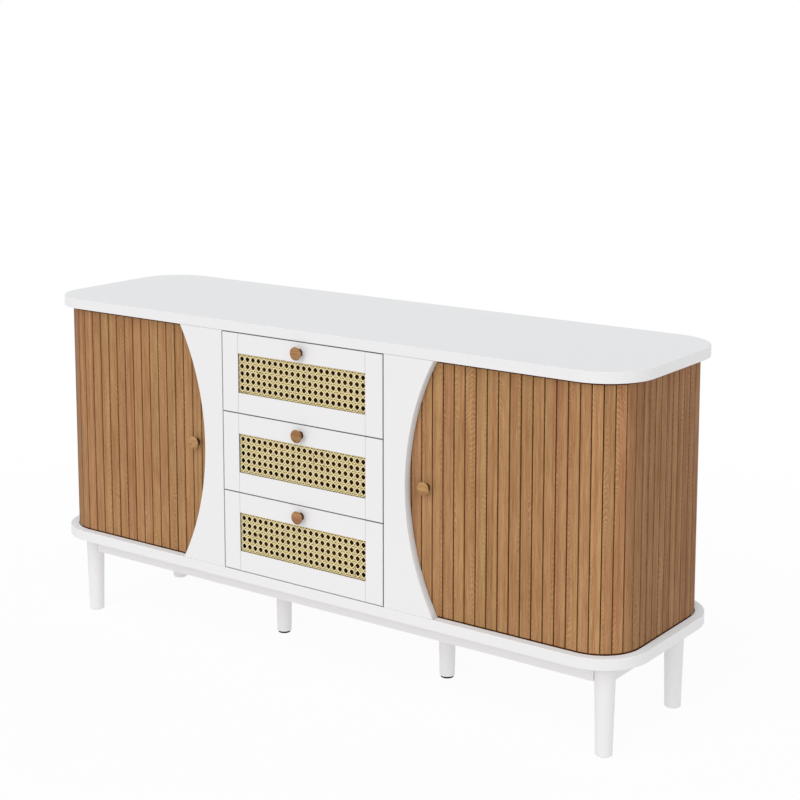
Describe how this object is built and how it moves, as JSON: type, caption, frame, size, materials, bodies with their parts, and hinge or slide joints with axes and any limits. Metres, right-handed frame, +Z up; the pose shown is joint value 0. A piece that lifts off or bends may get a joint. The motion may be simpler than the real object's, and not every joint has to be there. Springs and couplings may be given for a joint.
{
  "type": "sideboard buffet",
  "caption": "Low sideboard with rounded top and base, slatted tambour doors sliding behind arch-edged panels, a centre bay of cane-front drawers and turned legs.",
  "frame": {"origin": "centre of the bounding box on the floor; the panels' centre is 8.25 mm behind it because the drawer knobs stand out", "axes": "+X to the right seen from the front, +Y from the front to the back, +Z up"},
  "size_m": [1.5, 0.4366, 0.75],
  "materials": {
    "white_lacquer": "satin white lacquer on board",
    "oak": "oiled brown oak",
    "cane": "natural woven cane",
    "plywood": "plain plywood",
    "curtain_cloth": "dark canvas",
    "zinc": "zinc plated",
    "black_pad": "matt black plastic"
  },
  "bodies": {
    "cabinet": {"top_panel": "white_lacquer", "base_panel": "white_lacquer", "left_partition": "white_lacquer", "right_partition": "white_lacquer", "left_arch_panel": "white_lacquer", "right_arch_panel": "white_lacquer", "left_side_board": "white_lacquer", "right_side_board": "white_lacquer", "left_inner_back": "plywood", "right_inner_back": "plywood", "back_panel": "plywood", "left_shelf": "white_lacquer", "right_shelf": "white_lacquer", "shelf_pins": "zinc", "left_end_slats": "oak", "right_end_slats": "oak", "end_cloths": "curtain_cloth", "drawer_runners": "plywood", "front_left_leg": "white_lacquer", "front_right_leg": "white_lacquer", "rear_left_leg": "white_lacquer", "rear_right_leg": "white_lacquer", "left_mid_leg": "white_lacquer", "right_mid_leg": "white_lacquer", "leg_bolts": "zinc", "front_apron": "white_lacquer", "rear_apron": "white_lacquer", "left_apron": "white_lacquer", "right_apron": "white_lacquer", "left_cross_rail": "white_lacquer", "right_cross_rail": "white_lacquer"},
    "left_door": {"left_lead_slats": "oak", "left_lead_batten": "plywood", "left_front_slats": "oak", "left_front_cloth": "curtain_cloth", "left_door_knob": "oak"},
    "right_door": {"right_lead_slats": "oak", "right_lead_batten": "plywood", "right_front_slats": "oak", "right_front_cloth": "curtain_cloth", "right_door_knob": "oak"},
    "top_drawer": {"top_drawer_frame": "white_lacquer", "top_drawer_cane": "cane", "top_drawer_box": "plywood", "top_drawer_bottom": "plywood", "top_drawer_knob": "oak"},
    "middle_drawer": {"middle_drawer_frame": "white_lacquer", "middle_drawer_cane": "cane", "middle_drawer_box": "plywood", "middle_drawer_bottom": "plywood", "middle_drawer_knob": "oak"},
    "bottom_drawer": {"bottom_drawer_frame": "white_lacquer", "bottom_drawer_cane": "cane", "bottom_drawer_box": "plywood", "bottom_drawer_bottom": "plywood", "bottom_drawer_knob": "oak"},
    "left_pad": {"left_levelling_pad": "black_pad"},
    "right_pad": {"right_levelling_pad": "black_pad"}
  },
  "joints": [
    {"name": "left_door_slide", "type": "slide", "parent": "cabinet", "child": "left_door", "axis": [-1, 0, 0], "range_m": [0, 0.327], "deforming": ["left_front_slats", "left_front_cloth"]},
    {"name": "right_door_slide", "type": "slide", "parent": "cabinet", "child": "right_door", "axis": [1, 0, 0], "range_m": [0, 0.327], "deforming": ["right_front_slats", "right_front_cloth"]},
    {"name": "top_drawer_slide", "type": "slide", "parent": "cabinet", "child": "top_drawer", "axis": [0, -1, 0], "range_m": [0, 0.27]},
    {"name": "middle_drawer_slide", "type": "slide", "parent": "cabinet", "child": "middle_drawer", "axis": [0, -1, 0], "range_m": [0, 0.27]},
    {"name": "bottom_drawer_slide", "type": "slide", "parent": "cabinet", "child": "bottom_drawer", "axis": [0, -1, 0], "range_m": [0, 0.27]},
    {"name": "left_pad_turn", "type": "hinge", "parent": "cabinet", "child": "left_pad", "pos_m": [-0.2235, 0.00825, 0.0025], "axis": [0, 0, 1], "continuous": true},
    {"name": "right_pad_turn", "type": "hinge", "parent": "cabinet", "child": "right_pad", "pos_m": [0.2235, 0.00825, 0.0025], "axis": [0, 0, 1], "continuous": true}
  ]
}
